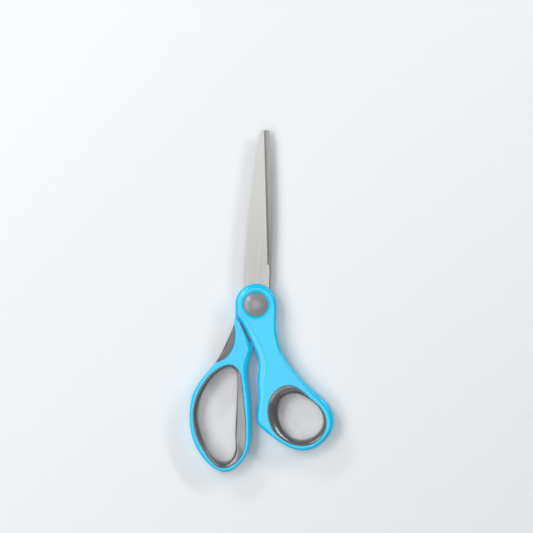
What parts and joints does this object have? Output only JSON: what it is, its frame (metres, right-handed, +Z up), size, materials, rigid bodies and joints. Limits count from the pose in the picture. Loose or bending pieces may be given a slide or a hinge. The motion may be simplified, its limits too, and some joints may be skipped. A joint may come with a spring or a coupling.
{
  "type": "office scissors",
  "caption": "Right-handed office scissors with long straight steel blades on a capped pivot, moulded handles, a finger loop, a thumb ring and soft grips.",
  "frame": {"origin": "on the pivot's axis, in the plane of the flat underside of the rear pivot cap and handles", "axes": "+Z up out of the front lever's face, with the scissors lying flat; +Y along the centre line of the closed blades, towards the tips; +X towards the thumb ring"},
  "size_m": [0.0734, 0.1748, 0.0099],
  "materials": {
    "blade_steel": "fine satin, ground along the blade",
    "handle_plastic": "glossy sky-blue moulded plastic",
    "soft_grip": "matte grey soft-touch elastomer",
    "pivot_cap": "satin grey moulded plastic",
    "rivet_steel": "plain turned steel"
  },
  "bodies": {
    "rear_lever": {"rear_blade": "blade_steel", "rear_handle": "handle_plastic", "finger_loop_grip": "soft_grip", "forefinger_pad": "soft_grip", "rear_cap": "pivot_cap", "pivot_rivet": "rivet_steel", "pivot_washer": "rivet_steel"},
    "front_lever": {"front_blade": "blade_steel", "front_handle": "handle_plastic", "thumb_ring_grip": "soft_grip", "front_cap": "pivot_cap"}
  },
  "joints": [
    {"name": "pivot", "type": "hinge", "parent": "rear_lever", "child": "front_lever", "pos_m": [0, 0, 0.0045], "axis": [0, 0, 1], "range_deg": [-2.1, 78]}
  ]
}
